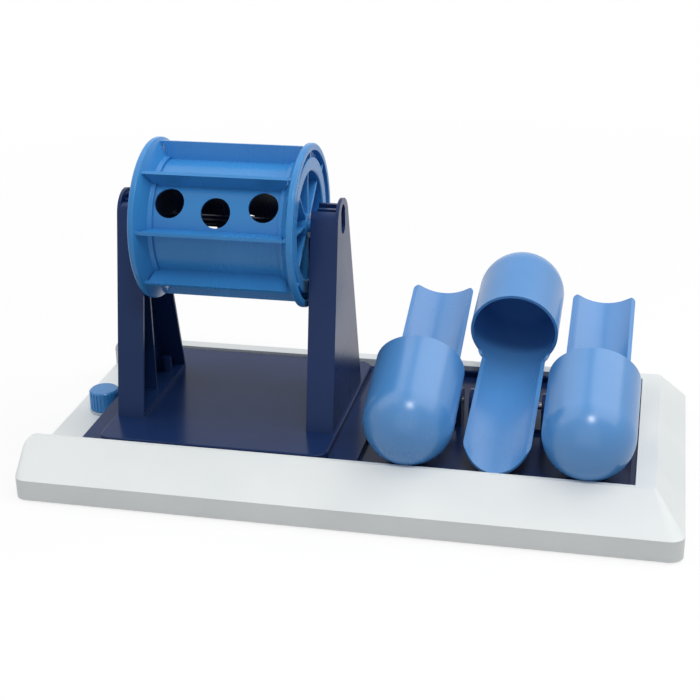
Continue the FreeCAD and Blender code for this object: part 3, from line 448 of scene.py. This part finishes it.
def addBlock(bm, low, high, turn=None):
    # a block between two corners, turned about the X axis where turn is given
    corners = bmesh.ops.create_cube(bm, size=1.0)["verts"]
    bmesh.ops.scale(bm, verts=corners, vec=[
        above - below for below, above in zip(low, high)])
    bmesh.ops.translate(bm, verts=corners, vec=[
        (above + below) / 2 for below, above in zip(low, high)])
    if turn is not None:
        bmesh.ops.rotate(bm, cent=(0, 0, 0), matrix=turn, verts=corners)


def growAlongX(bm, faces, distance):
    # pulls a flat end out to a closed body
    grown = bmesh.ops.extrude_face_region(bm, geom=faces)["geom"]
    bmesh.ops.translate(bm, vec=(distance, 0, 0), verts=[
        part for part in grown if isinstance(part, bmesh.types.BMVert)])


def addPrism(bm, near, far, outline):
    # a prism between two places on X, its outline given in Y and Z
    others = set(bm.faces)
    end = bm.faces.new([bm.verts.new((near, y, z)) for y, z in outline])
    growAlongX(bm, [end], far - near)
    bmesh.ops.recalc_face_normals(bm, faces=[
        face for face in bm.faces if face not in others])


# Drum wheels: rim, ribbed groove, flat ring and a wide spoked eye

drumWheel = {  # radii from the axle's middle, depths from the wheel's outer face
    "rim": 0.0576,
    "rimWidth": 0.0042,
    "rimThick": 0.0049,
    "ring": 0.0478,
    "ringDepth": 0.0012,
    "eye": 0.0402,
    "eyeDepth": 0.0138,
    "hub": 0.009,
    "bore": 0.0045,
    "sleeve": 0.0431,
    "sheet": 0.002,  # the wheel's thickness
    "grooveSheet": 0.9,  # and the share of it behind the groove
    "cone": 0.0105,
    "dish": 0.0135,
    "ease": 0.001,
    "spokes": 8,
    "phaseDegrees": -6.4,
    "ribThick": 0.0024,
    "ribDepth": 0.0073,
    "ribStop": 0.0021,  # from the rim's outline in to a rib's end
    "spokeThick": 0.002,
    "spokeTop": 0.003,
    "overlap": 0.001,  # how far ribs and spokes run into what holds them
    "turnSteps": 96,
}


def wheelOutline(wheel):
    # the section of one half, as radius and depth
    sheet, ease, rim = wheel["sheet"], wheel["ease"], wheel["rim"]
    ring, ringDepth = wheel["ring"], wheel["ringDepth"]
    eye, eyeDepth = wheel["eye"], wheel["eyeDepth"]
    rimInner, eyeInner = rim - wheel["rimThick"], eye - sheet
    coneFoot = wheel["sleeve"] + sheet
    slope = (wheel["cone"] - wheel["rimWidth"]) / (rim - coneFoot)
    grooveBack = wheel["cone"] - sheet * wheel["grooveSheet"]
    return [
        (wheel["bore"], sheet), (wheel["hub"], sheet),
        (wheel["hub"], eyeDepth - sheet), (eyeInner, eyeDepth - sheet),
        (eyeInner, sheet), (eyeInner + ease, ringDepth),
        (ring, ringDepth), (ring, grooveBack - (ring - coneFoot) * slope),
        (rimInner, grooveBack - (rimInner - coneFoot) * slope), (rimInner, 0.0),
        (rim - ease, 0.0), (rim, ease),
        (rim, wheel["rimWidth"]), (coneFoot, wheel["cone"]),
        (coneFoot, wheel["dish"]), (wheel["sleeve"], wheel["dish"]),
        (wheel["sleeve"], ringDepth + sheet), (eye, ringDepth + sheet),
        (eye, eyeDepth), (wheel["bore"], eyeDepth),
    ]


def addSpokes(bm, wheel, side):
    # ribs across the groove and spokes across the eye, in line with each other
    overlap = wheel["overlap"]
    bars = (
        (wheel["ribThick"], wheel["ring"] - overlap, wheel["rim"] - wheel["ribStop"],
         wheel["ringDepth"], wheel["ribDepth"]),
        (wheel["spokeThick"], wheel["hub"] - overlap, wheel["eye"] - overlap,
         wheel["spokeTop"], wheel["eyeDepth"] - overlap),
    )
    for count in range(wheel["spokes"]):
        angle = math.radians(wheel["phaseDegrees"] + 360.0 / wheel["spokes"] * count)
        turn = Matrix.Rotation(angle, 3, "X")
        for thick, inner, outer, top, bottom in bars:
            near, far = sorted((-side * top, -side * bottom))
            addBlock(bm, (near, inner, -thick / 2), (far, outer, thick / 2), turn)


def buildWheel(node, side):
    # side is 1 for the right wheel and -1 for the left one
    bm = bmesh.new()
    points = [bm.verts.new((-side * depth, radius, 0.0))
              for radius, depth in wheelOutline(drumWheel)]
    lines = [bm.edges.new((points[i - 1], points[i])) for i in range(len(points))]
    bmesh.ops.spin(bm, geom=points + lines, cent=(0, 0, 0), axis=(1, 0, 0),
                   angle=math.tau, steps=drumWheel["turnSteps"], use_merge=True)
    bmesh.ops.remove_doubles(bm, verts=bm.verts, dist=moulding["mergeDistance"])
    bmesh.ops.recalc_face_normals(bm, faces=bm.faces)
    addSpokes(bm, drumWheel, side)
    low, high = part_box(node)
    face = high[0] if side > 0 else low[0]
    bmesh.ops.translate(bm, verts=bm.verts, vec=(
        face, (low[1] + high[1]) / 2, (low[2] + high[2]) / 2))
    dressPiece(bm, node, drum)


buildWheel("right_drum_wheel", 1)
buildWheel("left_drum_wheel", -1)
print("drum wheels made")


# Posts: each keeps its legs and gets a head that is open above the axle

posts = {"edge": 0.0009, "segments": 3, "finish": "postNavy", "slot": "deck_navy"}

postHead = {  # half widths, rises and drops are from the axle's middle
    "openHalf": 0.0094,  # the opening above the axle
    "openRise": 0.007,
    "earKept": 0.0038,
    "earThick": 0.0023,
    "seatHalf": 0.0076,  # the axle's seat: two upright walls and a floor
    "seatRise": 0.0149,
    "seatDrop": 0.008,
    "seatInset": 0.003,
    "axleRoom": 0.00458,
    "plateNear": 0.00245,  # the plate outside the seat
    "plateFar": 0.0032,
    "plateRise": 0.0185,
    "windowHalf": 0.0062,  # the long window in the outer ear
    "windowDrop": 0.0046,
    "windowRise": 0.0165,
    "windowDepth": 0.0026,
    "windowSteps": 32,
    "cheek": 0.0189,  # the shoulders: the leg's slope, then a roll up to the crest
    "cheekDrop": 0.0054,
    "wall": 0.002,
    "crest": 0.0138,
    "roll": 0.006,
    "rollSteps": 10,
    "shoulderInset": 0.0001,
    "shoulderSink": 0.001,
}

cutting = {
    "inside": 0.002,  # how far a cutter goes past the post's inner face
    "above": 0.06,
    "outside": 0.001,
    "hairline": 0.00001,
    "leastLeft": 0.5,  # a good cut leaves a share of the volume between these
    "mostLeft": 1.02,
}


def cutAway(bm, tool):
    # the first mesh without what the second one fills
    made = []
    before = bm.calc_volume()
    for part in (bm, tool):
        mesh = bpy.data.meshes.new("cutting")
        part.to_mesh(mesh)
        part.free()
        made.append(bpy.data.objects.new("cutting", mesh))
        bpy.context.scene.collection.objects.link(made[-1])
    cut = made[0].modifiers.new("cut", "BOOLEAN")
    cut.operation = "DIFFERENCE"
    cut.solver = "EXACT"
    cut.object = made[1]
    shaped = made[0].evaluated_get(bpy.context.evaluated_depsgraph_get())
    left = bpy.data.meshes.new_from_object(shaped)
    result = bmesh.new()
    result.from_mesh(left)
    bpy.data.meshes.remove(left)
    after = result.calc_volume()
    if not before * cutting["leastLeft"] < after < before * cutting["mostLeft"]:
        print("a cut failed and was left out: %.9f of %.9f m3" % (after, before))
        result.free()
        result = bmesh.new()
        result.from_mesh(made[0].data)
    for used in made:
        mesh = used.data
        bpy.data.objects.remove(used)
        bpy.data.meshes.remove(mesh)
    return result


def openingCutter(inner, outer, side):
    # what leaves the head open above the axle; the outer ear stays
    head = postHead
    near, far = sorted((
        inner - side * cutting["inside"], outer - side * head["earKept"]))
    bm = bmesh.new()
    addBlock(bm, (near, axleY - head["openHalf"], axleZ + head["openRise"]),
             (far, axleY + head["openHalf"], axleZ + cutting["above"]))
    return bm


def windowCutter(outer, side):
    # a circle whose upper half is lifted, grown into the ear
    head = postHead
    half = head["windowHalf"]
    bm = bmesh.new()
    rim = bmesh.ops.create_circle(
        bm, cap_ends=True, radius=half, segments=head["windowSteps"])["verts"]
    bmesh.ops.rotate(bm, cent=(0, 0, 0), matrix=Matrix.Rotation(math.pi / 2, 3, "Y"),
                     verts=rim)
    upper = [point for point in rim if point.co.z > cutting["hairline"]]
    bmesh.ops.translate(bm, verts=upper, vec=(
        0, 0, head["windowRise"] + head["windowDrop"] - half * 2))
    growAlongX(bm, list(bm.faces), -side * (head["windowDepth"] + cutting["outside"]))
    bmesh.ops.translate(bm, verts=bm.verts, vec=(
        outer + side * cutting["outside"], axleY, axleZ - head["windowDrop"] + half))
    bmesh.ops.recalc_face_normals(bm, faces=bm.faces)
    return bm


def addSeat(bm, inner, outer, side):
    # the front wall, the rear wall, the floor and the plate of the axle's seat
    head = postHead
    half, room = head["seatHalf"], head["axleRoom"]
    foot, top = axleZ - head["seatDrop"], axleZ + head["seatRise"]
    plate = outer - side * head["plateNear"]
    near, far = sorted((inner + side * head["seatInset"], plate))
    addBlock(bm, (near, axleY - half, foot), (far, axleY - room, top))
    addBlock(bm, (near, axleY + room, foot), (far, axleY + half, top))
    addBlock(bm, (near, axleY - half, foot), (far, axleY + half, axleZ - room))
    near, far = sorted((plate, outer - side * head["plateFar"]))
    addBlock(bm, (near, axleY - half, foot),
             (far, axleY + half, axleZ + head["plateRise"]))


def shoulderOutline(facing, footReach, footZ):
    # a rounded shoulder above a leg; it carries on the leg's slope up to the roll
    head = postHead
    cheek, roll = head["cheek"], head["roll"]
    crestZ, openZ = axleZ + head["crest"], axleZ + head["openRise"]
    centreZ = axleZ - head["cheekDrop"]
    distance = math.hypot(footReach, centreZ - footZ)
    slope = math.atan2(centreZ - footZ, -footReach) - math.asin(cheek / distance)
    along = Vector((math.cos(slope), math.sin(slope)))
    outward = Vector((along.y, -along.x))
    start = Vector((0.0, centreZ)) + outward * cheek
    rollFoot = Vector((0.0, centreZ)) + outward * (cheek - roll)
    rollAt = rollFoot + along * ((crestZ - roll - rollFoot.y) / along.y)
    first = math.atan2(outward.y, outward.x)
    outline = [start - outward * head["wall"], start]
    for step in range(head["rollSteps"] + 1):
        angle = first + (math.pi / 2 - first) * step / head["rollSteps"]
        outline.append(rollAt + Vector((math.cos(angle), math.sin(angle))) * roll)
    for height in (crestZ, openZ - head["shoulderSink"]):
        outline.append(Vector((head["openHalf"], height)))
    return [(axleY + facing * point.x, point.y) for point in outline]


def buildPost(node, side):
    # side is 1 for the right post and -1 for the left one
    low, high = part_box(node)
    inner, outer = (low[0], high[0]) if side > 0 else (high[0], low[0])
    bm = cutAway(copyOfNode(node), openingCutter(inner, outer, side))
    bm = cutAway(bm, windowCutter(outer, side))
    addSeat(bm, inner, outer, side)
    near, far = sorted((inner + side * postHead["shoulderInset"],
                        outer - side * postHead["earThick"]))
    for facing, footY in ((-1, low[1]), (1, high[1])):
        footReach = (footY - axleY) * facing
        addPrism(bm, near, far, shoulderOutline(facing, footReach, low[2]))
    dressPiece(bm, node, posts)


buildPost("left_post", -1)
buildPost("right_post", 1)
print("posts made")
